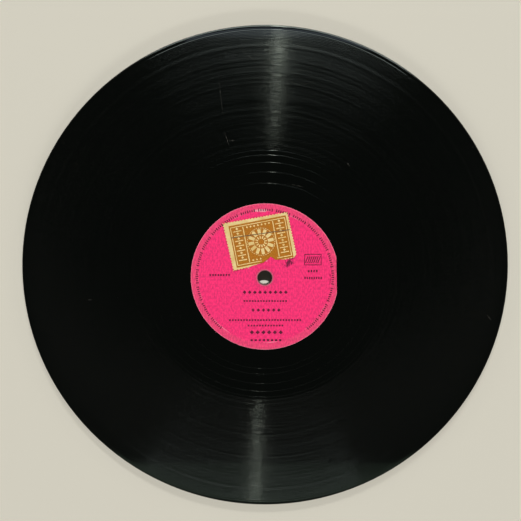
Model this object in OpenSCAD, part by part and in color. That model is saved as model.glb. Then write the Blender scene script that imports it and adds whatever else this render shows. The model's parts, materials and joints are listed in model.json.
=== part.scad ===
// Ten-inch shellac record: a laminated pressing with a paper label on each side
// and a revenue stamp glued to the front label.
// The record lies flat, with its spindle hole on the Z axis and its rear face on Z = 0.
// The front label faces +Z and its print reads upright along +Y.

/* [Disc] */
// Diameter of the record
disc_d = 250; // [246:0.5:306]
// Thickness over both facings
disc_t = 2.4; // [2.1:0.05:3.2]
// Radius of the rim's rounded corners
rim_r = 1; // [0.3:0.05:1.05]
// Diameter of the spindle hole
hole_d = 7.3; // [7.2:0.01:8]

/* [Layers] */
// Thickness of each facing, with its interleaf
facing_t = 0.6; // [0.4:0.05:0.9]
// Thickness of the kraft paper under each facing
interleaf_t = 0.15; // [0.08:0.01:0.2]
// Compound left between the interleaf's edge and the rim
interleaf_rim = 4; // [2:0.5:8]
// Compound left between the interleaf and the spindle hole
interleaf_eye = 2; // [0.5:0.5:6]

/* [Groove] */
// Width of the groove at the playing face, drawn about twice as wide as it is cut
groove_w = 0.3; // [0.2:0.02:0.44]
// Depth of the groove
groove_depth = 0.12; // [0.05:0.01:0.18]
// Spacing of the recorded turns, drawn six times as coarse as they are cut
band_pitch = 1.5; // [1:0.05:2.5]
// Smooth margin between the rim and the first turn
margin_w = 5; // [3:0.5:8]
// Least diameter that the recorded turns wind in to
band_inner_d = 129; // [110:0.5:140]
// Half turns of the run-out
run_out_halves = 9; // [3:2:11]
// How much the run-out opens up towards its end
run_out_growth = 1.65; // [1:0.05:1.8]
// Diameter of the closed finishing groove
finish_d = 96.6; // [90:0.2:104]
// Distance of the fine ring beside the rim from the disc's edge
rim_ring_in = 2.2; // [1.6:0.1:2.5]

/* [Labels] */
// Diameter of both labels
label_d = 76.2; // [70:0.1:86]
// Thickness of the label paper
label_t = 0.12; // [0.08:0.01:0.2]
// Clearance between a label's edge and its seat
label_gap = 0.05; // [0.02:0.01:0.2]
// Distance from the centre to the front label's trimmed side
label_trim = 36.9; // [32:0.1:43]
// Slant of the trimmed side, in degrees
label_trim_turn = 2; // [-6:0.5:6]
// Diameter of the ring pressed into the labels
press_ring_d = 69; // [50:0.5:69]
// Width of the pressed ring
press_ring_w = 0.8; // [0.3:0.1:1.5]
// Depth of the pressed ring
press_ring_depth = 0.04; // [0.02:0.01:0.06]

/* [Stamp] */
// Width of the stamp
stamp_w = 33.5; // [24:0.5:40]
// Height of the stamp's left side
stamp_h = 25; // [18:0.5:27]
// How much shorter the stamp's right side is
stamp_taper = 1.4; // [0:0.1:3]
// Thickness of the stamp's paper
stamp_t = 0.1; // [0.06:0.01:0.2]
// Place of the stamp's middle, to the right of the spindle hole
stamp_x = -2.5; // [-8:0.1:8]
// Place of the stamp's middle, above the spindle hole
stamp_y = 19.4; // [18:0.1:22]
// Turn of the stamp on the label, in degrees
stamp_turn = 12.5; // [-20:0.5:20]
// Spacing of the perforations
perf_pitch = 1.5; // [1.2:0.1:3]
// Diameter of the perforations
perf_d = 0.8; // [0.5:0.1:1.1]
// Width of the tear in the lower edge
tear_w = 19; // [6:0.5:20]
// Depth of the tear
tear_depth = 3.1; // [1:0.1:6]
// Place of the tear's middle along the lower edge
tear_x = 0.7; // [-2:0.1:2]
// Size of the lower right corner that is torn off
torn_corner = 1.7; // [0.5:0.1:3]

/* [Hidden] */
$fn = 96;

disc_r = disc_d / 2;
hole_r = hole_d / 2;
label_r = label_d / 2;
core_top = disc_t - facing_t;
interleaf_r = disc_r - interleaf_rim;
interleaf_hole_r = hole_r + interleaf_eye;
seat_z = disc_t - label_t;

// Centres and radii of the groove's arcs lie on this grid, so that neighbouring arcs meet exactly
arc_grid = 0.005;
quarter_pitch = on_grid(band_pitch / 4);
band_outer_r = disc_r - margin_w;
band_turns = floor((band_outer_r - band_inner_d / 2) / band_pitch);
run_out_start_r = band_outer_r - 4 * band_turns * quarter_pitch;
finish_r = finish_d / 2;

// Corners of the stamp, from the lower left one round to the upper left one
stamp_corners = [
    [-stamp_w / 2, -stamp_h / 2], [stamp_w / 2, -stamp_h / 2],
    [stamp_w / 2, stamp_h / 2 - stamp_taper], [-stamp_w / 2, stamp_h / 2]
];

// Outline of the tear as shares of its width and depth, from left to right
tear_shape = [
    [-0.5, -1], [-0.5, 0.05], [-0.3, 0.2], [-0.06, 0.31], [0, 0.56], [0.09, 0.78], [0.15, 1], [0.2, 0.7],
    [0.25, 0.34], [0.38, 0.22], [0.5, 0.05], [0.5, -1]
];

function on_grid(size) = round(size / arc_grid) * arc_grid;

// Radius of the run-out after a number of its half turns
function run_out_r(half) =
    run_out_start_r
    - 2 * on_grid((run_out_start_r - finish_r) / 2 * pow(half / run_out_halves, run_out_growth));

// Half section of the whole record, with its rounded rim
module disc_section() {
    difference() {
        translate([hole_r, 0]) square([disc_r - hole_r, disc_t]);
        for (side = [0, 1]) {
            translate([0, side * disc_t]) mirror([0, side]) rim_corner();
        }
    }
}

// What the rounded rim leaves off the lower corner of the half section
module rim_corner() {
    difference() {
        translate([disc_r - rim_r, -1]) square([rim_r + 1, rim_r + 1]);
        translate([disc_r - rim_r, rim_r]) circle(rim_r);
    }
}

// The part of the half section between two heights
module layer_section(z_low, z_high) {
    intersection() {
        disc_section();
        translate([0, z_low]) square([disc_r + 1, z_high - z_low]);
    }
}

module interleaf_section() {
    translate([interleaf_hole_r, core_top]) square([interleaf_r - interleaf_hole_r, interleaf_t]);
}

// V section that cuts the groove at a radius, and stands as far above the playing face as it cuts into it
module groove_section(r) {
    polygon([
        [r - groove_w, disc_t + groove_depth],
        [r, disc_t - groove_depth],
        [r + groove_w, disc_t + groove_depth]
    ]);
}

// Half a turn inwards, from one radius on the Y axis to a smaller one on its far side
module half_turn(r_from, r_to, side) {
    rotate([0, 0, 90 + side * 180]) translate([(r_from - r_to) / 2, 0, 0])
        rotate_extrude(angle = 180) groove_section((r_from + r_to) / 2);
}

// Recorded turns of even pitch: each half of the spiral is a set of arcs about one centre
module recorded_half(side) {
    rotate([0, 0, 90 + side * 180]) translate([quarter_pitch, 0, 0]) rotate_extrude(angle = 180)
        for (turn = [0:band_turns - 1]) {
            groove_section(band_outer_r - (4 * turn + 2 * side + 1) * quarter_pitch);
        }
}

module run_out() {
    for (half = [0:run_out_halves - 1]) half_turn(run_out_r(half), run_out_r(half + 1), half % 2);
}

// Closed outline of a label, grown by a clearance
module label_outline(grow, trimmed) {
    difference() {
        circle(label_r + grow);
        if (trimmed) {
            rotate(label_trim_turn) translate([label_trim + grow, -label_r]) square([label_r, 2 * label_r]);
        }
    }
}

module facing(trimmed) {
    difference() {
        rotate_extrude() difference() {
            layer_section(core_top, disc_t);
            interleaf_section();
        }
        translate([0, 0, seat_z]) linear_extrude(label_t + 1) label_outline(label_gap, trimmed);
        recorded_half(0);
        recorded_half(1);
        run_out();
        for (r = [finish_r, disc_r - rim_ring_in]) rotate_extrude() groove_section(r);
    }
}

module label(trimmed) {
    difference() {
        translate([0, 0, seat_z]) linear_extrude(label_t) difference() {
            label_outline(0, trimmed);
            circle(hole_r);
        }
        translate([0, 0, disc_t - press_ring_depth]) linear_extrude(1) difference() {
            circle(press_ring_d / 2);
            circle(press_ring_d / 2 - press_ring_w);
        }
    }
}

// Turns a piece of the front side over to the rear, about the record's middle
module on_rear() {
    translate([0, 0, disc_t]) rotate([180, 0, 0]) children();
}

// Perforations along the edge from one corner to the next
module perforations(from, to) {
    holes = round(norm(to - from) / perf_pitch);
    for (i = [0:holes - 1]) translate(from + (to - from) * (i + 0.5) / holes) circle(d = perf_d);
}

module stamp_outline() {
    difference() {
        polygon(stamp_corners);
        for (i = [0:3]) perforations(stamp_corners[i], stamp_corners[(i + 1) % 4]);
        translate([tear_x, -stamp_h / 2]) polygon([for (p = tear_shape) [p.x * tear_w, p.y * tear_depth]]);
        translate(stamp_corners[1]) rotate(45) square(torn_corner * sqrt(2), center = true);
    }
}

module core() {
    color("#2e2722") rotate_extrude() layer_section(facing_t, core_top);
}

module front_interleaf() {
    color("#a67c52") rotate_extrude() interleaf_section();
}

module rear_interleaf() {
    color("#a67c52") on_rear() rotate_extrude() interleaf_section();
}

module front_facing() {
    color("#0a0b0c") facing(true);
}

module rear_facing() {
    color("#0a0b0c") on_rear() facing(false);
}

module front_label() {
    color("#f4437f") label(true);
}

module rear_label() {
    color("#f4437f") on_rear() label(false);
}

module revenue_stamp() {
    color("#dfbe72") translate([stamp_x, stamp_y, disc_t]) rotate([0, 0, stamp_turn])
        linear_extrude(stamp_t) stamp_outline();
}

core();
front_interleaf();
rear_interleaf();
front_facing();
rear_facing();
front_label();
rear_label();
revenue_stamp();
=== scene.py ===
"""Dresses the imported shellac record: grooved facings, printed paper labels and a gummed stamp.

The record lies flat, front label up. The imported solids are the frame, and every piece keeps their places.
"""

import json
import math

import bmesh
import bpy
from mathutils import Matrix, Vector


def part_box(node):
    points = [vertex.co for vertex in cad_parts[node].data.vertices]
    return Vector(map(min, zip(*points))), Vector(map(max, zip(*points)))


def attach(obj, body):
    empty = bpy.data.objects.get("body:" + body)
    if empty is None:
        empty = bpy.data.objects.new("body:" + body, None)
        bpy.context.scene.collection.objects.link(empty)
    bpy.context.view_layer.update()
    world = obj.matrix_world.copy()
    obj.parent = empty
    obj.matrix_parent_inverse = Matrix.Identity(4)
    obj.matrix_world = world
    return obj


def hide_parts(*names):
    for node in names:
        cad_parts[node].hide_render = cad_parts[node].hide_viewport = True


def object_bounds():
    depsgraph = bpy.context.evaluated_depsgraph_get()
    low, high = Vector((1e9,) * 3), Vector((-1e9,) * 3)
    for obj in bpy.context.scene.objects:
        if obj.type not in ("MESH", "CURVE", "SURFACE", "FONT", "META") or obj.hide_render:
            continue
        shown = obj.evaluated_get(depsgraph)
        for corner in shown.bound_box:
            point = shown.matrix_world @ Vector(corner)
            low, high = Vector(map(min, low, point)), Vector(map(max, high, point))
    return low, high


bl_info = {
    "name": "Shellac Record",
    "version": (1, 0, 0),
    "blender": (4, 5, 0),
    "location": "3D View > Sidebar > Record",
    "description": "Presses the grooves, glues the labels and the stamp, and sets the stage",
    "category": "Object",
}

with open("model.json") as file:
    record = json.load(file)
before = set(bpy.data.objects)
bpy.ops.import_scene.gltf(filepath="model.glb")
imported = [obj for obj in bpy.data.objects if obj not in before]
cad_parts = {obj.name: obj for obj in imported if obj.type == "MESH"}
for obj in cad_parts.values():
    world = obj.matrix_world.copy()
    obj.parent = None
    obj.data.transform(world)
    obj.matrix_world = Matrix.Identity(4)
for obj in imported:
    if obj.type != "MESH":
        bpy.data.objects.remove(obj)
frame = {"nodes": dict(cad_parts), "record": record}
CAD_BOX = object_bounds()

MM = 0.001
FULL_TURN = 2 * math.pi

# Sizes that the solids give
DISC_R = CAD_BOX[1].x
FACE_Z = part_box("front_facing")[1].z
FACING_LOW_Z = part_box("front_facing")[0].z
INTERLEAF_TOP_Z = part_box("front_interleaf")[1].z
INTERLEAF_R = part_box("front_interleaf")[1].x
LABEL_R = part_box("rear_label")[1].x
SEAT_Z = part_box("front_label")[0].z
STAMP_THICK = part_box("revenue_stamp")[1].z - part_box("revenue_stamp")[0].z
HOLE_R = frame["record"]["mounts"][0]["dims"]["r_mm"] * MM

# Sizes that the boxes of the solids don't give
RIM_R = 1 * MM
RIM_RING_R = DISC_R - 2.2 * MM
RIM_RING_W = 0.4 * MM
INTERLEAF_EYE_R = HOLE_R + 2 * MM
LABEL_GAP = 0.05 * MM
TRIM_FROM_CENTRE = 36.9 * MM
TRIM_TURN = math.radians(2)
PRESS_RING_R = 34.5 * MM
PRESS_RING_W = 0.8 * MM
PRESS_RING_DEPTH = 0.04 * MM
PRESS_RING_SLOPE_W = 0.15 * MM
STAMP_PLACE = (
    Matrix.Translation((-2.5 * MM, 19.4 * MM, FACE_Z)) @ Matrix.Rotation(math.radians(12.5), 4, "Z")
)
STAMP_HALF_W = 33.5 / 2 * MM
STAMP_HALF_H = 25 / 2 * MM

# Steps of a full spin
DISC_STEPS = 128
LABEL_STEPS = 256
# Points of the rounded rim, as angles of its arc in degrees; the wide step is a worn facet
RIM_POINTS = (34, 50, 81, 90)
MERGE = 1e-7
# Upward share of a normal above which a face counts as level
LEVEL = 0.98
# Edges are hard where faces meet at more than these angles
PRESSED_SHARP = math.radians(15)
PAPER_SHARP = math.radians(10)
SOFT_EDGE = 0.05 * MM
PAPER_EDGE = 0.03 * MM
INK_THICK = 0.012 * MM
INK_SUNK = 0.004 * MM


def linear(code):
    """Turns an sRGB hex colour into linear red, green and blue."""
    shares = [int(code[i:i + 2], 16) / 255 for i in (1, 3, 5)]
    return [s / 12.92 if s <= 0.04045 else ((s + 0.055) / 1.055) ** 2.4 for s in shares]


def colour_setting(name, description, code):
    """Returns a colour that a user can set, from an sRGB hex value."""
    return bpy.props.FloatVectorProperty(
        name=name, description=description, default=linear(code), subtype="COLOR")


def length_setting(name, description, millimetres):
    """Returns a length that a user can set."""
    return bpy.props.FloatProperty(
        name=name, description=description, default=millimetres * MM, unit="LENGTH")


def angle_setting(name, description, degrees):
    """Returns an angle that a user can set."""
    return bpy.props.FloatProperty(
        name=name, description=description, default=math.radians(degrees), subtype="ANGLE")


def power_setting(name, description, watts):
    """Returns a lamp's power that a user can set."""
    return bpy.props.FloatProperty(name=name, description=description, default=watts, unit="POWER")


class RecordFacingLook(bpy.types.PropertyGroup):
    """Groove and finish of both facings."""

    margin_r: length_setting("Margin radius", "Radius at which the lead-in starts", 122.2)
    band_r: length_setting("Band radius", "Radius at which the recorded band starts", 118)
    band_end_r: length_setting("Band end", "Least radius of the recorded band", 65.2)
    finish_r: length_setting("Finishing radius", "Radius of the closed groove", 48.3)
    pitch: length_setting("Groove spacing", "Spacing of the recorded turns", 0.25)
    groove_w: length_setting("Groove width", "Width of the recorded groove", 0.16)
    line_w: length_setting("Lead-in width", "Width of the lead-in", 0.34)
    run_out_w: length_setting("Run-out width", "Width of the run-out", 0.28)
    inner_slope: angle_setting(
        "Inner slope", "Slope of the groove's inner wall, which the needle wears down", 22.3)
    outer_slope: angle_setting("Outer slope", "Slope of the groove's outer wall", 52.5)
    run_out_inner_slope: angle_setting("Run-out inner slope", "Slope of the inner wall of the run-out", 27)
    run_out_outer_slope: angle_setting("Run-out outer slope", "Slope of the outer wall of the run-out", 51)
    rim_slope: angle_setting("Rim slope", "Slope of the inner wall of the ring beside the rim", 27)
    shellac: colour_setting("Shellac", "Colour of the pressed shellac", "#020403")
    dust: colour_setting("Dust", "Colour of dust and scratches", "#8d8a80")


class RecordLabelLook(bpy.types.PropertyGroup):
    """Paper, wear and ink of both labels."""

    paper: colour_setting("Paper", "Colour of the dyed paper", "#f52f74")
    faded: colour_setting("Faded paper", "Colour of the rubbed outer zone", "#ea4173")
    bare: colour_setting("Bare paper", "Colour where the dye is worn off", "#e9aab4")
    grime: colour_setting("Grime", "Colour of the paper's rim at the spindle hole", "#5d3038")
    stain: colour_setting("Stain", "Colour of the smudge beside the stamp", "#4e0c30")
    ink: colour_setting("Ink", "Colour of the printing ink", "#3a0a1e")
    thin_ink: colour_setting("Thin ink", "Colour of the ink where it hardly took", "#7d1a41")


class RecordStampLook(bpy.types.PropertyGroup):
    """Paper, print and curl of the stamp."""

    paper: colour_setting("Paper", "Colour of the stamp's paper", "#e3cc90")
    browned: colour_setting("Browned paper", "Colour of the aged paper", "#d2b472")
    ink: colour_setting("Print", "Colour of the stamp's print", "#9d5808")
    thin_ink: colour_setting("Thin print", "Colour of the print where it hardly took", "#bd7e20")
    pen: colour_setting("Pen line", "Colour of the cancelling line", "#4f443c")
    thin_pen: colour_setting("Thin pen line", "Colour of the cancelling line where it hardly took", "#8a6a45")
    curl: length_setting("Curl", "Lift of the corners", 0.2)


class RecordStageLook(bpy.types.PropertyGroup):
    """Floor, lamps and camera."""

    floor: colour_setting("Floor", "Colour of the floor", "#d1cdbf")
    sky: colour_setting("Surroundings", "Colour of the pale surroundings", "#e6e2d8")
    soft_power: power_setting("Soft lamp", "Power of the soft lamp beyond the top of the record", 79)
    fill_power: power_setting("Fill lamp", "Power of the low lamp on the near side", 59)
    strip_power: power_setting("Strip lamp", "Power of the narrow lamp that draws the streaks", 6)
    wide_power: power_setting("Wide lamp", "Power of the wide lamp that draws the haze", 32)
    glow: bpy.props.FloatProperty(
        name="Glow", description="Strength of the low light from all sides", default=7.2)
    lens: bpy.props.FloatProperty(
        name="Lens", description="Focal length of the camera", default=44.91, unit="CAMERA")


def add(tree, kind, inputs=(), **settings):
    """Adds a node to a tree, sets its properties, and links or sets its inputs."""
    made = tree.nodes.new("ShaderNode" + kind)
    for name, value in settings.items():
        setattr(made, name, value)
    for key, value in dict(inputs).items():
        if isinstance(value, bpy.types.NodeSocket):
            tree.links.new(value, made.inputs[key])
        else:
            made.inputs[key].default_value = value
    return made


def new_material(name):
    """Returns a new material with its tree, and the Principled shader in it."""
    material = bpy.data.materials.new(name)
    material.use_nodes = True
    return material, material.node_tree, material.node_tree.nodes["Principled BSDF"]


def new_piece(name, bm, material, slot, *replaced):
    """Turns a bmesh into a piece that rides with the record and stands for the named solids."""
    mesh = bpy.data.meshes.new(name)
    bm.to_mesh(mesh)
    bm.free()
    mesh.materials.append(material)
    piece = bpy.data.objects.new(name, mesh)
    bpy.context.scene.collection.objects.link(piece)
    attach(piece, "root")
    if replaced:
        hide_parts(*replaced)


def add_loop(bm, points):
    """Adds a closed loop of edges through points given as radius and height, and returns its vertices."""
    verts = [bm.verts.new((r, 0, z)) for r, z in points]
    for i, vert in enumerate(verts):
        bm.edges.new((vert, verts[i - 1]))
    return verts


def shade(bm, sharp):
    """Shades a bmesh smooth, with hard edges where its faces meet at more than an angle."""
    bmesh.ops.recalc_face_normals(bm, faces=bm.faces)
    for face in bm.faces:
        face.smooth = True
    for edge in bm.edges:
        edge.smooth = edge.calc_face_angle(math.pi) < sharp


def turn_over(bm):
    """Turns a bmesh of the front side over to the rear side."""
    middle = Vector((0, 0, FACE_Z / 2))
    bmesh.ops.rotate(bm, cent=middle, matrix=Matrix.Rotation(math.pi, 3, "X"), verts=bm.verts)


def trimmed(radius, angle, distance):
    """Returns the radius of a round edge that is cut straight at a distance from the centre."""
    toward = math.cos(angle - TRIM_TURN)
    return min(radius, distance / toward) if toward > 0 else radius


def groove_section(inner_slope, outer_slope):
    """Returns a groove's outer edge, bottom and inner edge, as place and depth in shares of its width."""
    outer = 1 / math.tan(outer_slope)
    depth = 1 / (outer + 1 / math.tan(inner_slope))
    return (0.5, 0), (0.5 - depth * outer, depth), (-0.5, 0)


class Groove:
    """Course of the groove: lead-in, recorded band and run-out, by the number of turns from the margin."""

    LEAD_IN_TURNS = 6
    RUN_OUT_TURNS = 4.5
    RUN_OUT_GROWTH = 1.6
    # Turns that the band stops short of its last whole one, and over which the groove opens and closes
    CUT_SHORT = 0.25
    OPENING = 0.15
    CLOSING = 0.05
    # Loud passages are cut wider: share of the width, and length of the swells in turns
    LOUDNESS = 0.14
    SWELLS = (4.3, 7.1, 11.9)

    def __init__(self, look):
        self.look = look
        self.recorded = groove_section(look.inner_slope, look.outer_slope)
        self.run_out = groove_section(look.run_out_inner_slope, look.run_out_outer_slope)
        self.finish_edge_r = look.finish_r + look.run_out_w / 2
        band = math.floor((look.band_r - look.band_end_r) / look.pitch) - self.CUT_SHORT
        self.run_out_at = self.LEAD_IN_TURNS + band
        self.run_out_r = look.band_r - band * look.pitch
        self.end_at = self.run_out_at + self.RUN_OUT_TURNS
        self.turns = math.ceil(self.end_at)

    def radius(self, turn):
        """Returns the radius of the groove's middle."""
        look = self.look
        if turn < self.LEAD_IN_TURNS:
            return look.margin_r + (look.band_r - look.margin_r) * turn / self.LEAD_IN_TURNS
        if turn < self.run_out_at:
            return look.band_r - (turn - self.LEAD_IN_TURNS) * look.pitch
        share = min(1, (turn - self.run_out_at) / self.RUN_OUT_TURNS)
        return self.run_out_r - (self.run_out_r - self.finish_edge_r) * share ** self.RUN_OUT_GROWTH

    def width(self, turn):
        """Returns the groove's width, which opens from nothing and closes at the finishing groove."""
        if turn < self.LEAD_IN_TURNS:
            full = self.look.line_w
        elif turn > self.run_out_at:
            full = self.look.run_out_w
        else:
            swell = sum(math.sin(FULL_TURN * turn / length) for length in self.SWELLS)
            full = self.look.groove_w * (1 + self.LOUDNESS * swell)
        return full * max(0, min(1, turn / self.OPENING, (self.end_at - turn) / self.CLOSING))

    def section(self, turn):
        """Returns the groove's section, whose inner wall is steeper in the run-out."""
        return self.recorded if turn < self.run_out_at else self.run_out


def ring_points(section, radius, width):
    """Returns the points of a closed groove, as radius and height."""
    return [(radius + across * width, FACE_Z - down * width) for across, down in section]


def facing_section(look, groove):
    """Returns a front facing's section as radius and height, in five stretches from its rim to its hole."""
    low = math.asin((FACING_LOW_Z - (FACE_Z - RIM_R)) / RIM_R)
    rim = [low, *(math.radians(point) for point in RIM_POINTS)]
    outside = [(DISC_R - RIM_R + RIM_R * math.cos(a), FACE_Z - RIM_R + RIM_R * math.sin(a)) for a in rim]
    outside += ring_points(groove_section(look.rim_slope, look.outer_slope), RIM_RING_R, RIM_RING_W)
    turns = [(groove.radius(turn), FACE_Z) for turn in range(groove.turns) for _ in groove.recorded]
    finish = ring_points(groove.run_out, look.finish_r, look.run_out_w)
    seat_r = LABEL_R + LABEL_GAP
    seat = [(seat_r + SOFT_EDGE, FACE_Z), (seat_r, FACE_Z - SOFT_EDGE), (seat_r, SEAT_Z)]
    inside = [
        (HOLE_R, SEAT_Z),
        (HOLE_R, FACING_LOW_Z),
        (INTERLEAF_EYE_R, FACING_LOW_Z),
        (INTERLEAF_EYE_R, INTERLEAF_TOP_Z),
        (INTERLEAF_R, INTERLEAF_TOP_Z),
        (INTERLEAF_R, FACING_LOW_Z),
    ]
    return outside, turns, finish, seat, inside


def press_facing(look, trim):
    """Returns the bmesh of a front facing: its section is spun, then its turns are wound into a spiral."""
    groove = Groove(look)
    outside, turns, finish, seat, inside = facing_section(look, groove)
    bm = bmesh.new()
    turn_of = bm.verts.layers.float.new("turn")
    point_of = bm.verts.layers.int.new("point")
    seat_of = bm.verts.layers.int.new("seat")
    land_of = bm.faces.layers.float.new("land")
    verts = add_loop(bm, outside + turns + finish + seat + inside)
    for vert in verts:
        vert[turn_of] = -1
    first_turn = len(outside)
    for i in range(len(turns)):
        vert = verts[first_turn + i]
        vert[turn_of], vert[point_of] = divmod(i, len(groove.recorded))
    first_seat = first_turn + len(turns) + len(finish)
    for vert in verts[first_seat:first_seat + len(seat)]:
        vert[seat_of] = 1

    # The last row of the spin stays apart until the turns are wound, because each ends where the next starts
    spun = bmesh.ops.spin(
        bm, geom=bm.verts[:] + bm.edges[:], axis=(0, 0, 1), cent=(0, 0, 0), angle=FULL_TURN, steps=DISC_STEPS)
    last = {item for item in spun["geom_last"] if isinstance(item, bmesh.types.BMVert)}
    for vert in bm.verts:
        share = 1.0 if vert in last else math.atan2(vert.co.y, vert.co.x) / FULL_TURN % 1
        angle = share * FULL_TURN
        radius, z = math.hypot(vert.co.x, vert.co.y), vert.co.z
        if vert[turn_of] >= 0:
            turn = vert[turn_of] + share
            across, down = groove.section(turn)[vert[point_of]]
            radius = groove.radius(turn) + across * groove.width(turn)
            z = FACE_Z - down * groove.width(turn)
        elif vert[seat_of] and trim:
            radius = trimmed(radius, angle, TRIM_FROM_CENTRE + radius - LABEL_R)
        vert.co = (radius * math.cos(angle), radius * math.sin(angle), z)
    bmesh.ops.remove_doubles(bm, verts=bm.verts, dist=MERGE)
    shade(bm, PRESSED_SHARP)
    for face in bm.faces:
        face[land_of] = float(abs(face.normal.z) > LEVEL)
    return bm


def distance_in_oval(tree, place, x, y, turn, length, width):
    """Returns the distance from an oval's middle as a share of its reach, from millimetres and degrees."""
    local = add(tree, "Mapping", {
        "Vector": place,
        "Location": (x * MM, y * MM, 0),
        "Rotation": (0, 0, math.radians(turn)),
        "Scale": (length / 2 * MM, width / 2 * MM, 1),
    }, vector_type="TEXTURE").outputs[0]
    return add(tree, "VectorMath", {0: local}, operation="LENGTH").outputs["Value"]


# Scratches on the faces: place, turn, length and width, in millimetres and degrees
SCRATCHES = (
    (-22, 92, 97, 30, 0.1),
    (-18.9, 69.9, 108, 9, 0.24),
    (-16.9, 69.4, -8, 5, 0.2),
    (42.1, 57.3, -55, 3, 0.25),
    (116.2, -20.8, -50, 4, 0.3),
    (-91.2, -11.7, 5, 4, 0.2),
    (15.6, 47.2, -12, 9, 0.16),
    (-8.3, 110.4, -41, 11, 0.12),
    (14.4, 97.2, -22, 8, 0.12),
    (21.8, 97.3, 15, 8, 0.12),
)
LAND_ROUGHNESS = 0.06
DUST_ROUGHNESS = 0.7
# How far the rings of the loud passages waver, in ring widths, and the share of places without dust
RING_WAVER = 0.25
DUSTLESS = 0.95


def shellac_roughness(tree, place, flat):
    """Returns the roughness of the clean shellac: rippled walls, a handling haze and glossy lands."""
    radius = add(tree, "VectorMath", {0: flat}, operation="LENGTH").outputs["Value"]
    # Louder and quieter passages: rings about 1.6 mm wide, which waver slightly over about 12 mm
    drift = add(tree, "TexNoise", {"Vector": place, "Scale": 1 / (12 * MM), "Detail": 2}).outputs[0]
    phase = add(tree, "Math", {0: drift, 1: RING_WAVER}, operation="MULTIPLY").outputs[0]
    steps = add(tree, "Math", {0: radius, 1: 1 / (1.6 * MM), 2: phase}, operation="MULTIPLY_ADD").outputs[0]
    rings = add(tree, "TexNoise", {"W": steps, "Scale": 1, "Detail": 2}, noise_dimensions="1D").outputs[0]
    loud = add(tree, "MapRange", {
        "Value": rings, "From Min": 0.36, "From Max": 0.64, "To Min": 0.12, "To Max": 0.19}).outputs[0]
    # Handling haze in patches of about 30 mm
    haze = add(tree, "TexNoise", {"Vector": place, "Scale": 1 / (30 * MM), "Detail": 4}).outputs[0]
    hazy = add(tree, "MapRange", {
        "Value": haze, "From Min": 0.45, "From Max": 0.75, "To Min": 0, "To Max": 0.02}).outputs[0]
    worn = add(tree, "Math", {0: loud, 1: hazy}).outputs[0]
    # The level lands between the turns keep their gloss, and the walls that the needle touches don't
    land = add(tree, "Attribute", attribute_name="land").outputs["Fac"]
    return add(tree, "Mix", {0: land, 2: worn, 3: LAND_ROUGHNESS}).outputs[0]


def shellac_marks(tree, place, flat):
    """Returns how much the dust and the scratches cover the shellac."""
    # Dust grains about 0.4 mm wide, drawn coarse enough to show, about 18 mm apart
    grains = add(tree, "TexVoronoi", {"Vector": place, "Scale": 1 / (4 * MM)}).outputs
    near = add(tree, "MapRange", {
        "Value": grains["Distance"], "From Min": 0.055, "From Max": 0.03, "To Max": 0.2}).outputs[0]
    pick = add(tree, "SeparateColor", {0: grains["Color"]}).outputs[0]
    rare = add(tree, "Math", {0: pick, 1: DUSTLESS}, operation="GREATER_THAN").outputs[0]
    marked = add(tree, "Math", {0: near, 1: rare}, operation="MULTIPLY").outputs[0]
    # Scratches are broken up over about 0.8 mm
    skips = add(tree, "TexNoise", {"Vector": place, "Scale": 1 / (0.8 * MM), "Detail": 2}).outputs[0]
    taken = add(tree, "MapRange", {
        "Value": skips, "From Min": 0.42, "From Max": 0.6, "To Max": 0.45}).outputs[0]
    for scratch in SCRATCHES:
        off = distance_in_oval(tree, flat, *scratch)
        line = add(tree, "MapRange", {
            "Value": off, "From Min": 1, "From Max": 0.4, "To Max": taken}).outputs[0]
        marked = add(tree, "Math", {0: marked, 1: line}, operation="MAXIMUM").outputs[0]
    return marked


def shellac_material(look):
    """Pressed shellac: black and glossy, rippled by the loudness of its groove, with dust and scratches."""
    material, tree, shader = new_material("pressed_shellac")
    place = add(tree, "TexCoord").outputs["Object"]
    flat = add(tree, "VectorMath", {0: place, 1: (1, 1, 0)}, operation="MULTIPLY").outputs[0]
    roughness = shellac_roughness(tree, place, flat)
    marked = shellac_marks(tree, place, flat)
    colour = add(tree, "Mix", {
        0: marked, 6: (*look.shellac, 1), 7: (*look.dust, 1)}, data_type="RGBA").outputs[2]
    tree.links.new(colour, shader.inputs["Base Color"])
    dull = add(tree, "Mix", {0: marked, 2: roughness, 3: DUST_ROUGHNESS}).outputs[0]
    tree.links.new(dull, shader.inputs["Roughness"])
    shader.inputs["IOR"].default_value = 1.52
    return material


class RECORD_OT_facings(bpy.types.Operator):
    """Press both facings with their grooves"""

    bl_idname = "record.facings"
    bl_label = "Press Facings"

    def execute(self, context):
        look = context.scene.record_facing
        material = shellac_material(look)
        front = press_facing(look, trim=True)
        new_piece("front_grooved_facing", front, material, "shellac", "front_facing")
        rear = press_facing(look, trim=False)
        turn_over(rear)
        new_piece("rear_grooved_facing", rear, material, "shellac", "rear_facing")
        return {"FINISHED"}


# Colours of the layers inside the record
COMPOUND = "#141211"
GRIT = "#3a332d"
KRAFT = "#8a6540"
KRAFT_FIBRE = "#c39a6b"


def compound_material():
    """Coarse filled shellac compound: dull, nearly black, with pale mineral grit about 0.6 mm apart."""
    material, tree, shader = new_material("filled_compound")
    place = add(tree, "TexCoord").outputs["Object"]
    grit = add(tree, "TexVoronoi", {"Vector": place, "Scale": 1 / (0.6 * MM)}).outputs["Distance"]
    pale = add(tree, "MapRange", {"Value": grit, "From Min": 0.3, "From Max": 0.1}).outputs[0]
    colour = add(tree, "Mix", {
        0: pale, 6: (*linear(COMPOUND), 1), 7: (*linear(GRIT), 1)}, data_type="RGBA").outputs[2]
    tree.links.new(colour, shader.inputs["Base Color"])
    rough = add(tree, "MapRange", {"Value": grit, "To Min": 0.62, "To Max": 0.45}).outputs[0]
    tree.links.new(rough, shader.inputs["Roughness"])
    return material


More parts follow.
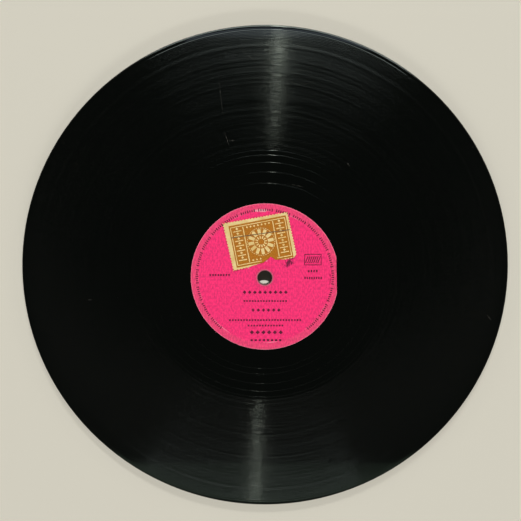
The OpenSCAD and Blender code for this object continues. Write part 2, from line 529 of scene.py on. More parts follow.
def kraft_material():
    """Kraft paper: brown and matt, with paler fibres about 1.5 mm long."""
    material, tree, shader = new_material("kraft_paper")
    place = add(tree, "TexCoord").outputs["Object"]
    fibres = add(tree, "TexNoise", {"Vector": place, "Scale": 1 / (1.5 * MM), "Detail": 6}).outputs[0]
    colour = add(tree, "Mix", {
        0: fibres, 6: (*linear(KRAFT), 1), 7: (*linear(KRAFT_FIBRE), 1)}, data_type="RGBA").outputs[2]
    tree.links.new(colour, shader.inputs["Base Color"])
    shader.inputs["Roughness"].default_value = 0.9
    return material


class RECORD_OT_inner_layers(bpy.types.Operator):
    """Finish the core and the paper that binds it to the facings"""

    bl_idname = "record.inner_layers"
    bl_label = "Finish Inner Layers"

    def execute(self, context):
        kraft = kraft_material()
        finishes = {"core": compound_material(), "front_interleaf": kraft, "rear_interleaf": kraft}
        for name, material in finishes.items():
            slots = frame["nodes"][name].data.materials
            slots.clear()
            slots.append(material)
        return {"FINISHED"}


# Smudge beside the stamp, rubbed patch above it and torn flecks of it: place, turn, length and width,
# in millimetres and degrees
SMUDGE = (12.4, 7.8, 39, 6.8, 3.7)
RUBBED_PATCH = (-2, 34.5, 0, 9, 1.8)
FLECKS = ((-8.3, 5.2, 50, 1.5, 0.8), (0.9, 8.7, 40, 1.4, 0.7))
# How far the patch and the flecks are bare, and how ragged the speckle makes their edges and the smudge's
PATCH_BARE = 0.8
FLECK_BARE = 0.7
TORN_RAGGED = 1.5
SMUDGE_RAGGED = 2
# How much the threads show in the dye, beside its speckle
THREAD_SHARE = 0.06


def linen_threads(tree, place):
    """Returns the height of the linen grain: threads 0.9 mm apart, drawn about twice as coarse as real."""
    weave = [
        add(tree, "TexWave", {
            "Vector": place, "Scale": FULL_TURN / (20 * 0.9 * MM), "Distortion": 3, "Detail": 2,
            "Detail Scale": 2,
        }, bands_direction=axis).outputs[1]
        for axis in ("X", "Y")
    ]
    return add(tree, "Math", {0: weave[0], 1: weave[1]}, operation="ADD").outputs[0]


def worn_dye(tree, place, radius):
    """Returns how far the dye is worn off: in stretches of the pressed ring, at the hole and at the edge."""
    # The stretches are a few millimetres long
    rub = add(tree, "TexNoise", {"Vector": place, "Scale": 1 / (9 * MM), "Detail": 5}).outputs[0]
    rubbed = add(tree, "MapRange", {
        "Value": rub, "From Min": 0.5, "From Max": 0.72, "To Max": 0.5}).outputs[0]
    on_ring = add(tree, "Math", {
        0: radius, 1: PRESS_RING_R - 0.2 * MM, 2: 0.25 * MM}, operation="COMPARE").outputs[0]
    ring_worn = add(tree, "Math", {0: rubbed, 1: on_ring}, operation="MULTIPLY").outputs[0]
    hole_worn = add(tree, "MapRange", {
        "Value": radius, "From Min": HOLE_R + 0.9 * MM, "From Max": HOLE_R + 0.2 * MM,
        "To Max": 0.6}).outputs[0]
    edge_worn = add(tree, "MapRange", {
        "Value": radius, "From Min": LABEL_R - 0.5 * MM, "From Max": LABEL_R - 0.1 * MM,
        "To Max": 0.3}).outputs[0]
    worn = add(tree, "Math", {0: ring_worn, 1: hole_worn}, operation="MAXIMUM").outputs[0]
    return add(tree, "Math", {0: worn, 1: edge_worn}, operation="MAXIMUM").outputs[0]


def torn_dye(tree, flat, speckle, worn):
    """Returns how far the dye is worn off, with the rubbed patch and the flecks beside the stamp."""
    for patch, bare in ((RUBBED_PATCH, PATCH_BARE), *((fleck, FLECK_BARE) for fleck in FLECKS)):
        off = distance_in_oval(tree, flat, *patch)
        ragged = add(tree, "Math", {0: speckle, 1: TORN_RAGGED, 2: off}, operation="MULTIPLY_ADD").outputs[0]
        patchy = add(tree, "MapRange", {
            "Value": ragged, "From Min": 1.75, "From Max": 1.3, "To Max": bare}).outputs[0]
        worn = add(tree, "Math", {0: worn, 1: patchy}, operation="MAXIMUM").outputs[0]
    return worn


def hole_grime(tree, radius):
    """Returns the grime at the hole: spindles leave a dark rim, and round it the paper is faintly darker in a
    wide ring.
    """
    rim = add(tree, "MapRange", {
        "Value": radius, "From Min": HOLE_R + 0.75 * MM, "From Max": HOLE_R + 0.2 * MM,
        "To Max": 0.9}).outputs[0]
    wide_darkening = add(tree, "MapRange", {
        "Value": radius, "From Min": HOLE_R + 3 * MM, "From Max": HOLE_R + 0.8 * MM,
        "To Max": 0.16}).outputs[0]
    return add(tree, "Math", {0: rim, 1: wide_darkening}, operation="MAXIMUM").outputs[0]


def smudge_cover(tree, flat, speckle):
    """Returns how much the ragged smudge covers the paper."""
    off = distance_in_oval(tree, flat, *SMUDGE)
    ragged = add(tree, "Math", {0: speckle, 1: SMUDGE_RAGGED, 2: off}, operation="MULTIPLY_ADD").outputs[0]
    return add(tree, "MapRange", {
        "Value": ragged, "From Min": 2, "From Max": 1.5, "To Max": 0.88}).outputs[0]


def label_paper_material(name, look, smudged):
    """Dyed label paper with a pressed linen grain, rubbed pale along its ring, hole and edge."""
    material, tree, shader = new_material(name)
    place = add(tree, "TexCoord").outputs["Object"]
    flat = add(tree, "VectorMath", {0: place, 1: (1, 1, 0)}, operation="MULTIPLY").outputs[0]
    radius = add(tree, "VectorMath", {0: flat}, operation="LENGTH").outputs["Value"]
    outer = add(tree, "MapRange", {
        "Value": radius, "From Min": PRESS_RING_R - 0.6 * MM, "From Max": PRESS_RING_R + 0.6 * MM}).outputs[0]
    paper = add(tree, "Mix", {
        0: outer, 6: (*look.paper, 1), 7: (*look.faded, 1)}, data_type="RGBA").outputs[2]
    threads = linen_threads(tree, place)
    # Speckle of the dye, about 0.8 mm wide and twice as long
    upright = add(tree, "Mapping", {"Vector": place, "Scale": (1, 0.5, 1)}).outputs[0]
    speckle = add(tree, "TexNoise", {"Vector": upright, "Scale": 1 / (0.8 * MM), "Detail": 3}).outputs[0]
    grain = add(tree, "Math", {0: threads, 1: THREAD_SHARE, 2: speckle}, operation="MULTIPLY_ADD").outputs[0]
    mottle = add(tree, "MapRange", {
        "Value": grain, "From Min": 0.3, "From Max": 0.8, "To Min": 0.69, "To Max": 1.19}).outputs[0]
    dyed = add(tree, "VectorMath", {0: paper, "Scale": mottle}, operation="SCALE").outputs[0]
    worn = worn_dye(tree, place, radius)
    if smudged:
        worn = torn_dye(tree, flat, speckle, worn)
    colour = add(tree, "Mix", {0: worn, 6: dyed, 7: (*look.bare, 1)}, data_type="RGBA").outputs[2]
    grimy = hole_grime(tree, radius)
    colour = add(tree, "Mix", {0: grimy, 6: colour, 7: (*look.grime, 1)}, data_type="RGBA").outputs[2]
    if smudged:
        stained = smudge_cover(tree, flat, speckle)
        colour = add(tree, "Mix", {0: stained, 6: colour, 7: (*look.stain, 1)}, data_type="RGBA").outputs[2]
    tree.links.new(colour, shader.inputs["Base Color"])
    shader.inputs["Roughness"].default_value = 0.75
    bump = add(tree, "Bump", {"Height": threads, "Strength": 0.25, "Distance": 0.02 * MM}).outputs[0]
    tree.links.new(bump, shader.inputs["Normal"])
    return material


def cut_label(trim):
    """Returns the bmesh of a front label: one spin of its section, trimmed straight on its right if asked."""
    ring_in_r = PRESS_RING_R - PRESS_RING_W
    bm = bmesh.new()
    add_loop(bm, [
        (HOLE_R, SEAT_Z),
        (LABEL_R, SEAT_Z),
        (LABEL_R, FACE_Z - PAPER_EDGE),
        (LABEL_R - PAPER_EDGE, FACE_Z),
        (PRESS_RING_R, FACE_Z),
        (PRESS_RING_R - PRESS_RING_SLOPE_W, FACE_Z - PRESS_RING_DEPTH),
        (ring_in_r + PRESS_RING_SLOPE_W, FACE_Z - PRESS_RING_DEPTH),
        (ring_in_r, FACE_Z),
        (HOLE_R + PAPER_EDGE, FACE_Z),
        (HOLE_R, FACE_Z - PAPER_EDGE),
    ])
    bmesh.ops.spin(
        bm, geom=bm.verts[:] + bm.edges[:], axis=(0, 0, 1), cent=(0, 0, 0), angle=FULL_TURN,
        steps=LABEL_STEPS, use_merge=True)
    if trim:
        for vert in bm.verts:
            radius = math.hypot(vert.co.x, vert.co.y)
            if radius > PRESS_RING_R:
                angle = math.atan2(vert.co.y, vert.co.x)
                vert.co.xy *= trimmed(radius, angle, TRIM_FROM_CENTRE + radius - LABEL_R) / radius
    shade(bm, PAPER_SHARP)
    return bm


class RECORD_OT_labels(bpy.types.Operator):
    """Glue a label into each facing"""

    bl_idname = "record.labels"
    bl_label = "Glue Labels"

    def execute(self, context):
        look = context.scene.record_label
        front_paper = label_paper_material("front_label_paper", look, smudged=True)
        new_piece("front_paper_label", cut_label(trim=True), front_paper, "label_paper", "front_label")
        rear_paper = label_paper_material("rear_label_paper", look, smudged=False)
        rear = cut_label(trim=False)
        turn_over(rear)
        new_piece("rear_paper_label", rear, rear_paper, "label_paper", "rear_label")
        return {"FINISHED"}


LOZENGE_TURN = math.radians(45)

# Graduated ring of the label's print: radius in millimetres, ends in degrees, and ticks in all and in a
# group, whose last one is left out
RING_R = 34.9
RING_ENDS = (-50, 231)
RING_TICKS = 152
RING_GROUP = 8
TICK_SIZE = (1.05, 0.5)
LONG_TICK_SIZE = (1.4, 0.5)
LONG_TICK_EVERY = 3

# Rows of marks in the print: middle, width and height in millimetres, and number of marks
MARK_ROWS = (
    (0.2, -7.6, 24, 2.3, 9),
    (0.2, -12.2, 23, 0.9, 16),
    (0.6, -17, 16, 2.2, 6),
    (0.2, -22.3, 38, 1, 26),
    (0.4, -25.2, 19, 0.9, 13),
    (0.8, -28.8, 18, 2.7, 6),
    (0.6, -33, 17, 1, 8),
    (-23.2, 1.4, 11, 1.1, 8),
    (24.6, 3.5, 5.5, 1.2, 4),
    (24.8, -0.1, 9.5, 1.2, 8),
)
# Rows above this height are of lozenges, which take a share of the height, and lower ones of dashes,
# which take a share of the step
LOZENGE_ROW_H = 1.5
LOZENGE_SHARE = 0.58
DASH_SHARE = 0.56

# Hatched box of the print, in millimetres
BOX_PLACE = (24.6, 9.4)
BOX_SIZE = (8.8, 5.8)
BOX_LINE = 0.35
HATCH_STEPS = range(-3, 4)
HATCH_STEP = 1.05
HATCH_SIZE = (0.45, 3.6)
HATCH_TURN = math.radians(-20)


def add_bar(bm, x, y, width, height, turn=0.0):
    """Adds a flat bar to a bmesh, by its middle, its size and its turn, in millimetres and radians."""
    size = Matrix.Diagonal((width, height, 1, 1))
    place = Matrix.Scale(MM, 4) @ Matrix.Translation((x, y, 0)) @ Matrix.Rotation(turn, 4, "Z") @ size
    bmesh.ops.create_grid(bm, x_segments=1, y_segments=1, size=0.5, matrix=place)


def add_lozenge(bm, x, y, side):
    """Adds a square that stands on its corner, in millimetres."""
    add_bar(bm, x, y, side, side, LOZENGE_TURN)


def add_rays(bm, radius, count, length, width):
    """Adds a ring of bars that point outwards, in millimetres."""
    for i in range(count):
        angle = FULL_TURN * i / count
        add_bar(bm, radius * math.cos(angle), radius * math.sin(angle), length, width, angle)


def add_frame(bm, centre, width, height, line):
    """Adds the four bars of a rectangular frame, in millimetres."""
    for side in (-1, 1):
        add_bar(bm, centre[0], centre[1] + side * (height - line) / 2, width, line)
        add_bar(bm, centre[0] + side * (width - line) / 2, centre[1], line, height - 2 * line)


def thicken_ink(bm, z):
    """Makes closed films of the flat faces of a bmesh, sunk slightly into the paper at a height."""
    bmesh.ops.translate(bm, vec=(0, 0, z - INK_SUNK), verts=bm.verts)
    grown = bmesh.ops.extrude_face_region(bm, geom=bm.faces[:], use_keep_orig=True)
    tops = [item for item in grown["geom"] if isinstance(item, bmesh.types.BMVert)]
    bmesh.ops.translate(bm, vec=(0, 0, INK_THICK + INK_SUNK), verts=tops)
    bmesh.ops.recalc_face_normals(bm, faces=bm.faces)


def print_label():
    """Returns the bmesh of a label's print: a graduated ring, rows of plain marks and a hatched box."""
    bm = bmesh.new()
    first, last = [math.radians(end) for end in RING_ENDS]
    for i in range(RING_TICKS):
        angle = first + (last - first) * i / (RING_TICKS - 1)
        place = i % RING_GROUP
        if place < RING_GROUP - 1:
            size = TICK_SIZE if place % LONG_TICK_EVERY else LONG_TICK_SIZE
            add_bar(bm, RING_R * math.cos(angle), RING_R * math.sin(angle), *size, angle)
    for x, y, width, height, marks in MARK_ROWS:
        step = width / marks
        for i in range(marks):
            middle = x + (i + 0.5) * step - width / 2
            if height > LOZENGE_ROW_H:
                add_lozenge(bm, middle, y, height * LOZENGE_SHARE)
            else:
                add_bar(bm, middle, y, step * DASH_SHARE, height)
    add_frame(bm, BOX_PLACE, *BOX_SIZE, BOX_LINE)
    for i in HATCH_STEPS:
        add_bar(bm, BOX_PLACE[0] + i * HATCH_STEP, BOX_PLACE[1], *HATCH_SIZE, HATCH_TURN)
    thicken_ink(bm, FACE_Z)
    return bm


def ink_material(name, colour, thin):
    """Printing ink: matt, soaked unevenly into the paper, with a grain of about half a millimetre."""
    material, tree, shader = new_material(name)
    place = add(tree, "TexCoord").outputs["Object"]
    soak = add(tree, "TexNoise", {"Vector": place, "Scale": 1 / (0.5 * MM), "Detail": 4}).outputs[0]
    uneven = add(tree, "MapRange", {"Value": soak, "From Min": 0.35, "From Max": 0.7}).outputs[0]
    mixed = add(tree, "Mix", {0: uneven, 6: (*colour, 1), 7: (*thin, 1)}, data_type="RGBA").outputs[2]
    tree.links.new(mixed, shader.inputs["Base Color"])
    shader.inputs["Roughness"].default_value = 0.7
    return material


class RECORD_OT_label_print(bpy.types.Operator):
    """Print plain marks on both labels"""

    bl_idname = "record.label_print"
    bl_label = "Print Labels"

    def execute(self, context):
        look = context.scene.record_label
        material = ink_material("label_ink", look.ink, look.thin_ink)
        new_piece("front_label_print", print_label(), material, "label_paper")
        rear = print_label()
        turn_over(rear)
        new_piece("rear_label_print", rear, material, "label_paper")
        return {"FINISHED"}


# Bend of the stamp: grid steps from its middle to each side, power of the corners' curl, and the sides'
# lift as a share of the curl, which starts at a share of the half width
BEND_STEPS = 5
CURL_POWER = 4
SIDE_LIFT = 0.2
SIDE_LIFT_FROM = 0.6

# Printed panel of the stamp: its place, and in millimetres half its size and the stretch that the tear cuts
PRINT_PLACE = (
    Matrix.Translation((0.4 * MM, -0.84 * MM, 0)) @ Matrix.Rotation(math.radians(-1.5), 4, "Z")
)
PRINT_HALF_W = 14.8
PRINT_HALF_H = 10.85
TORN_STRETCH = (-1.5, 6.5)

# Pale marks of the panel, in millimetres from its middle. The rosette's rings of rays are given by their
# radius, number, length and width, and the upright rules by their distance, width and height
ROSETTE = ((5, 12, 3, 1.6), (2.3, 12, 1.4, 0.6), (7, 36, 0.3, 0.8))
UPRIGHT_RULES = ((14, 0.4, 20), (7.7, 0.5, 18.6))
MARK_STEPS = range(-3, 4)
LADDER_X = 10.9
LADDER_STEP = 2.5
RUNG_SIZE = (4.2, 0.5)
LADDER_LOZENGE = 1
ROW_Y = 8.6
ROW_STEP = 1.9
ROW_LOZENGE = 0.8
LEVEL_RULE_Y = 9.8
LEVEL_RULE_END = 13.8
LEVEL_RULE_LINE = 0.4

# Cancelling line on the stamp: middle, length and width in millimetres, and turn
PEN_LINE = (0.8, 3.2, 30.2, 0.42, math.radians(-4.4))


def on_stamp(bm, look):
    """Cuts a bmesh drawn in the stamp's own axes along a grid, bends it as the stamp curls, and places it."""
    for axis, half in (((1, 0, 0), STAMP_HALF_W), ((0, 1, 0), STAMP_HALF_H)):
        for i in range(1 - BEND_STEPS, BEND_STEPS):
            bmesh.ops.bisect_plane(
                bm, geom=bm.verts[:] + bm.edges[:] + bm.faces[:],
                plane_co=Vector(axis) * half * i / BEND_STEPS, plane_no=axis)
    for vert in bm.verts:
        across, up = vert.co.x / STAMP_HALF_W, vert.co.y / STAMP_HALF_H
        side = max(0, abs(across) - SIDE_LIFT_FROM)
        vert.co.z += look.curl * (across * up) ** CURL_POWER + look.curl * SIDE_LIFT * side
    bmesh.ops.transform(bm, matrix=STAMP_PLACE, verts=bm.verts)
    bmesh.ops.recalc_face_normals(bm, faces=bm.faces)


def flat_stamp():
    """Returns the bmesh of the stamp's solid in the stamp's own axes."""
    bm = bmesh.new()
    bm.from_mesh(frame["nodes"]["revenue_stamp"].data)
    bmesh.ops.remove_doubles(bm, verts=bm.verts, dist=MERGE)
    bmesh.ops.transform(bm, matrix=STAMP_PLACE.inverted(), verts=bm.verts)
    return bm


def cut_stamp(look):
    """Returns the bmesh of the stamp: its solid, with more points to bend at."""
    bm = flat_stamp()
    on_stamp(bm, look)
    return bm


def print_stamp_ground(look):
    """Returns the bmesh of the stamp's ochre ground: the face of its paper, cut to the printed panel."""
    bm = flat_stamp()
    bm.normal_update()
    rest = [face for face in bm.faces if face.normal.z < LEVEL]
    bmesh.ops.delete(bm, geom=rest, context="FACES")
    turn = PRINT_PLACE.to_3x3()
    for axis, half in (((1, 0, 0), PRINT_HALF_W), ((0, 1, 0), PRINT_HALF_H)):
        for side in (-1, 1):
            outward = Vector(axis) * side
            bmesh.ops.bisect_plane(
                bm, geom=bm.verts[:] + bm.edges[:] + bm.faces[:], clear_outer=True,
                plane_co=PRINT_PLACE @ (outward * half * MM), plane_no=turn @ outward)
    for vert in bm.verts:
        vert.co.z = 0
    thicken_ink(bm, STAMP_THICK)
    on_stamp(bm, look)
    return bm


def print_stamp_marks(look):
    """Returns the bmesh of the stamp's pale marks: a rosette between panels of rules and lozenges."""
    bm = bmesh.new()
    torn_from, torn_to = TORN_STRETCH
    for ring in ROSETTE:
        add_rays(bm, *ring)
    for side in (-1, 1):
        for x, width, height in UPRIGHT_RULES:
            add_bar(bm, side * x, 0, width, height)
        for i in MARK_STEPS:
            add_bar(bm, side * LADDER_X, i * LADDER_STEP, *RUNG_SIZE)
            add_lozenge(bm, side * LADDER_X, (i + 0.5) * LADDER_STEP, LADDER_LOZENGE)
            if side > 0 or not torn_from < i * ROW_STEP < torn_to:
                add_lozenge(bm, i * ROW_STEP, side * ROW_Y, ROW_LOZENGE)
    for left, right, y in (
            (-LEVEL_RULE_END, LEVEL_RULE_END, LEVEL_RULE_Y),
            (-LEVEL_RULE_END, torn_from, -LEVEL_RULE_Y),
            (torn_to, LEVEL_RULE_END, -LEVEL_RULE_Y)):
        add_bar(bm, (left + right) / 2, y, right - left, LEVEL_RULE_LINE)
    bmesh.ops.transform(bm, matrix=PRINT_PLACE, verts=bm.verts)
    thicken_ink(bm, STAMP_THICK + INK_THICK)
    on_stamp(bm, look)
    return bm


def draw_pen_line(look):
    """Returns the bmesh of the cancelling line across the stamp."""
    bm = bmesh.new()
    add_bar(bm, *PEN_LINE)
    thicken_ink(bm, STAMP_THICK + 2 * INK_THICK)
    on_stamp(bm, look)
    return bm


def stamp_paper_material(look):
    """Gummed stamp paper: cream and matt, browned in patches of about 6 mm, with fibres of about 0.4 mm."""
    material, tree, shader = new_material("gummed_paper")
    place = add(tree, "TexCoord").outputs["Object"]
    age = add(tree, "TexNoise", {"Vector": place, "Scale": 1 / (6 * MM), "Detail": 5}).outputs[0]
    browned = add(tree, "MapRange", {"Value": age, "From Min": 0.4, "From Max": 0.7}).outputs[0]
    colour = add(tree, "Mix", {
        0: browned, 6: (*look.paper, 1), 7: (*look.browned, 1)}, data_type="RGBA").outputs[2]
    tree.links.new(colour, shader.inputs["Base Color"])
    shader.inputs["Roughness"].default_value = 0.8
    fibres = add(tree, "TexNoise", {"Vector": place, "Scale": 1 / (0.4 * MM), "Detail": 3}).outputs[0]
    bump = add(tree, "Bump", {"Height": fibres, "Strength": 0.3, "Distance": 0.02 * MM}).outputs[0]
    tree.links.new(bump, shader.inputs["Normal"])
    return material


class RECORD_OT_stamp(bpy.types.Operator):
    """Glue the printed stamp on the front label"""

    bl_idname = "record.stamp"
    bl_label = "Glue Stamp"

    def execute(self, context):
        look = context.scene.record_stamp
        paper = stamp_paper_material(look)
        new_piece("gummed_stamp", cut_stamp(look), paper, "stamp_paper", "revenue_stamp")
        ochre = ink_material("stamp_ink", look.ink, look.thin_ink)
        new_piece("stamp_ground", print_stamp_ground(look), ochre, "stamp_paper")
        new_piece("stamp_marks", print_stamp_marks(look), paper, "stamp_paper")
        pen = ink_material("pen_ink", look.pen, look.thin_pen)
        new_piece("stamp_pen_line", draw_pen_line(look), pen, "stamp_paper")
        return {"FINISHED"}


FLOOR_HALF = 3
FLOOR_DROP = 0.05 * MM
# How much of the floor's own colour the camera sees plain, beside its light and shadow, outside a radius
FLOOR_PLAIN = 0.65
FLOOR_PLAIN_R = 100 * MM
# Painted light: a glowing patch on the floor of the spindle hole. Place, turn, length and width, in
# millimetres and degrees
PAINTED_HOLE_LIGHT = (-0.4, -2.5, 0, 4.4, 1.5)

LAMP_DISTANCE = 2.5
# Lamps by their turn to the right, height and lean in degrees, and their width and length in metres
LAMPS = {
    "soft_lamp": (3, 22, 0, (0.9, 0.16)),
    "fill_lamp": (177, 17, 0, (1.6, 0.16)),
    "strip_lamp": (3.3, 20.25, 3.6, (0.03, 1.41)),
    "strip_tip_lamp": (4.7, 38.75, 0, (0.03, 0.24)),
    "strip_foot_lamp": (4.3, 6.8, 0, (0.03, 0.22)),
    "wide_lamp": (4.5, 23.75, 0, (3.15, 0.77)),
}
# The strip lamp goes on fainter above its top, and is brighter at its foot
STRIP_TIP_SHARE = 0.063
STRIP_FOOT_SHARE = 0.145
STRIP_COLOUR = "#f2ffec"
WIDE_COLOUR = "#eefff8"
CARD_HEIGHT = 0.331
# Cards over the record that only its gloss shows: middle and size in millimetres, brightness and colour
CARDS = (
    ("near_card", (0, -289), (350, 62), 0.33, "#d6ffdb"),
    ("rim_card", (15, 194), (190, 24), 1.1, "#cfe0f2"),
)

BACKDROP = 0.85
OVERHEAD = 0.05
# Heights in the surroundings, as the upward share of a direction. From the first one up, the backdrop goes
# dark until the second. The glow grows until the third and ends at the last, so that it neither reaches into
# the spindle hole nor draws long shadows
SKY_FOOT = math.sin(math.radians(4))
BACKDROP_TOP = math.sin(math.radians(14))
GLOW_PEAK = math.sin(math.radians(12))
GLOW_TOP = math.sin(math.radians(18))

# Camera: place, turn in radians, and width of its sensor in millimetres
CAMERA_PLACE = Vector((-1.34, 56.68, 331.82)) * MM
CAMERA_TURN = (-0.1439, 0.0027, 0)
SENSOR_W = 36
CLIP_START = 10 * MM


class RECORD_OT_stage(bpy.types.Operator):
    """Set the floor, the lamps, the surroundings and the camera"""

    bl_idname = "record.stage"
    bl_label = "Set Stage"

    def execute(self, context):
        look = context.scene.record_stage
        context.scene.view_settings.view_transform = "Standard"
        self.lay_floor(look)
        self.hang_lamps(look)
        self.paint_surroundings(look)
        self.set_camera(look)
        return {"FINISHED"}

    def lay_floor(self, look):
        """Lays the floor just under the record."""
        bm = bmesh.new()
        bmesh.ops.create_grid(bm, x_segments=1, y_segments=1, size=FLOOR_HALF)
        bmesh.ops.translate(bm, vec=(0, 0, -FLOOR_DROP), verts=bm.verts)
        mesh = bpy.data.meshes.new("floor")
        bm.to_mesh(mesh)
        bm.free()
        mesh.materials.append(self.floor_material(look))
        floor = bpy.data.objects.new("floor", mesh)
        bpy.context.scene.collection.objects.link(floor)

    def floor_material(self, look):
        """Matt paint, which shows the record's shadow softened round its rim, and glows with painted light in
        its hole.
        """
        material, tree, shader = new_material("painted_floor")
        shader.inputs["Base Color"].default_value = (*look.floor, 1)
        shader.inputs["Roughness"].default_value = 0.85
        place = add(tree, "TexCoord").outputs["Object"]
        radius = add(tree, "VectorMath", {0: place}, operation="LENGTH").outputs["Value"]
        around = add(tree, "MapRange", {
            "Value": radius, "From Min": FLOOR_PLAIN_R, "From Max": DISC_R, "To Max": FLOOR_PLAIN}).outputs[0]
        # The floor of the spindle hole glows with a painted patch of light, seen plain like the floor round
        # the rim
        off = distance_in_oval(tree, place, *PAINTED_HOLE_LIGHT)
        painted_hole_light = add(tree, "MapRange", {"Value": off, "From Min": 1.2, "From Max": 0.8}).outputs[0]
        plain_and_painted_light = add(tree, "Math", {0: around, 1: painted_hole_light}, operation="MAXIMUM").outputs[0]
        ray = add(tree, "LightPath").outputs
        mirrored = add(tree, "Math", {
            0: ray["Is Glossy Ray"], 1: ray["Is Transmission Ray"]}, operation="MAXIMUM").outputs[0]
        sight = add(tree, "Math", {0: ray["Is Camera Ray"], 1: mirrored}, operation="MAXIMUM").outputs[0]
        plain = add(tree, "Math", {0: sight, 1: plain_and_painted_light}, operation="MULTIPLY").outputs[0]
        paint = add(tree, "Emission", {"Color": (*look.floor, 1)}).outputs[0]
        seen = add(tree, "MixShader", {0: plain, 1: shader.outputs[0], 2: paint}).outputs[0]
        tree.links.new(seen, tree.nodes["Material Output"].inputs["Surface"])
        return material

    def hang_lamps(self, look):
        """Hangs the lamps beyond the top of the record, and a low one on its near side."""
        soft = self.hang_lamp("soft_lamp", look.soft_power)
        fill = self.hang_lamp("fill_lamp", look.fill_power)
        # These light the paper and the floor and are kept out of the gloss, as a screen would do
        for lamp in (soft, fill):
            lamp.visible_glossy = False
        strip = self.hang_lamp("strip_lamp", look.strip_power)
        tip = self.hang_lamp("strip_tip_lamp", look.strip_power * STRIP_TIP_SHARE)
        foot = self.hang_lamp("strip_foot_lamp", look.strip_power * STRIP_FOOT_SHARE)
        for lamp in (strip, tip, foot):
            lamp.data.color = linear(STRIP_COLOUR)
        wide = self.hang_lamp("wide_lamp", look.wide_power)
        wide.data.color = linear(WIDE_COLOUR)
        cards = [self.hang_card(*card) for card in CARDS]
        # These draw the streaks in the gloss and leave the paper as the others light it
        for lamp in (strip, tip, foot, wide, *cards):
            lamp.visible_diffuse = False

    def hang_lamp(self, name, power):
        """Hangs one of the lamps and points it at the record."""
        side, height, lean, size = LAMPS[name]
        hung = self.new_lamp(name, size, power)
        turn = Matrix.Rotation(math.radians(-side), 3, "Z") @ Matrix.Rotation(math.radians(height), 3, "X")
        hung.location = turn @ Vector((0, LAMP_DISTANCE, 0))
        facing = hung.location.to_track_quat("Z", "Y").to_matrix()
        hung.rotation_euler = (facing @ Matrix.Rotation(math.radians(lean), 3, "Z")).to_euler()
        return hung

    def hang_card(self, name, middle, size, brightness, colour):
        """Hangs a card level over the record."""
        width, length = size[0] * MM, size[1] * MM
        hung = self.new_lamp(name, (width, length), brightness * math.pi * width * length)
        hung.location = (middle[0] * MM, middle[1] * MM, CARD_HEIGHT)
        hung.data.color = linear(colour)
        return hung

    def new_lamp(self, name, size, power):
        """Returns a new rectangular lamp that the camera doesn't see."""
        lamp = bpy.data.lights.new(name, "AREA")
        lamp.shape = "RECTANGLE"
        lamp.size, lamp.size_y = size
        lamp.energy = power
        hung = bpy.data.objects.new(name, lamp)
        hung.visible_camera = False
        bpy.context.scene.collection.objects.link(hung)
        return hung

    def paint_surroundings(self, look):
        """Paints pale surroundings that are dark overhead, so that the gloss stays black from above."""
        world = bpy.data.worlds.new("surroundings")
        bpy.context.scene.world = world
        world.use_nodes = True
        tree = world.node_tree
        background = tree.nodes["Background"]
        direction = add(tree, "TexCoord").outputs["Generated"]
        height = add(tree, "SeparateXYZ", {0: direction}).outputs["Z"]
        horizon = add(tree, "MapRange", {
            "Value": height, "From Min": SKY_FOOT, "From Max": BACKDROP_TOP,
            "To Min": BACKDROP, "To Max": OVERHEAD}, interpolation_type="SMOOTHSTEP").outputs[0]
        rise = add(tree, "MapRange", {
            "Value": height, "From Min": SKY_FOOT, "From Max": GLOW_PEAK,
            "To Max": look.glow}, interpolation_type="SMOOTHSTEP").outputs[0]
        glow = add(tree, "MapRange", {
            "Value": height, "From Min": GLOW_PEAK, "From Max": GLOW_TOP,
            "To Min": rise, "To Max": OVERHEAD}, interpolation_type="SMOOTHSTEP").outputs[0]
        ray = add(tree, "LightPath").outputs
        mirrored = add(tree, "Math", {
            0: ray["Is Glossy Ray"], 1: ray["Is Transmission Ray"]}, operation="MAXIMUM").outputs[0]
        strength = add(tree, "Mix", {0: mirrored, 2: glow, 3: horizon}).outputs[0]
        strength = add(tree, "Mix", {0: ray["Is Camera Ray"], 2: strength, 3: BACKDROP}).outputs[0]
        tree.links.new(strength, background.inputs["Strength"])
        background.inputs["Color"].default_value = (*look.sky, 1)

    def set_camera(self, look):
        """Sets the camera where the photograph was taken from."""
        lens = bpy.data.cameras.new("camera")
        lens.sensor_width = SENSOR_W
        lens.lens = look.lens
        lens.clip_start = CLIP_START
        camera = bpy.data.objects.new("camera", lens)
        camera.location = CAMERA_PLACE
        camera.rotation_euler = CAMERA_TURN
        bpy.context.scene.collection.objects.link(camera)
        bpy.context.scene.camera = camera


OPERATORS = (
    RECORD_OT_inner_layers,
    RECORD_OT_facings,
    RECORD_OT_labels,
    RECORD_OT_label_print,
    RECORD_OT_stamp,
    RECORD_OT_stage,
)

LOOKS = {
    "record_facing": RecordFacingLook,
    "record_label": RecordLabelLook,
    "record_stamp": RecordStampLook,
    "record_stage": RecordStageLook,
}


class RECORD_PT_panel(bpy.types.Panel):
    """Lists the steps that dress the record"""

    bl_idname = "RECORD_PT_panel"
    bl_label = "Shellac Record"
    bl_space_type = "VIEW_3D"
    bl_region_type = "UI"
    bl_category = "Record"

    def draw(self, context):
        for operator in OPERATORS:
            self.layout.operator(operator.bl_idname)
        for name in LOOKS:
            look = getattr(context.scene, name)
            box = self.layout.box()
            for setting in look.__annotations__:
                box.prop(look, setting)


def register():
    """Registers the settings, the operators and the panel."""
    for name, look in LOOKS.items():
        bpy.utils.register_class(look)
        setattr(bpy.types.Scene, name, bpy.props.PointerProperty(type=look))
    for kind in (*OPERATORS, RECORD_PT_panel):
        bpy.utils.register_class(kind)


def unregister():
    """Removes what register added."""
    for kind in (RECORD_PT_panel, *reversed(OPERATORS)):
        bpy.utils.unregister_class(kind)
    for name, look in reversed(LOOKS.items()):
        delattr(bpy.types.Scene, name)
        bpy.utils.unregister_class(look)


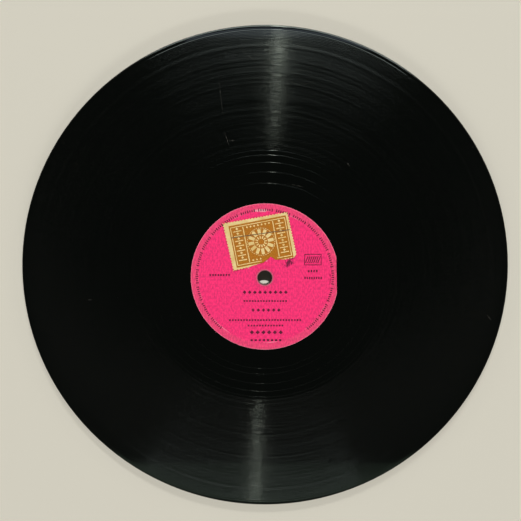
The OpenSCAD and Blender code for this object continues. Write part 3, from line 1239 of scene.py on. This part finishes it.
def main():
    """Dresses the record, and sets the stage."""
    register()
    bpy.ops.record.inner_layers()
    bpy.ops.record.facings()
    bpy.ops.record.labels()
    bpy.ops.record.label_print()
    bpy.ops.record.stamp()
    bpy.ops.record.stage()


if __name__ == "__main__":
    main()
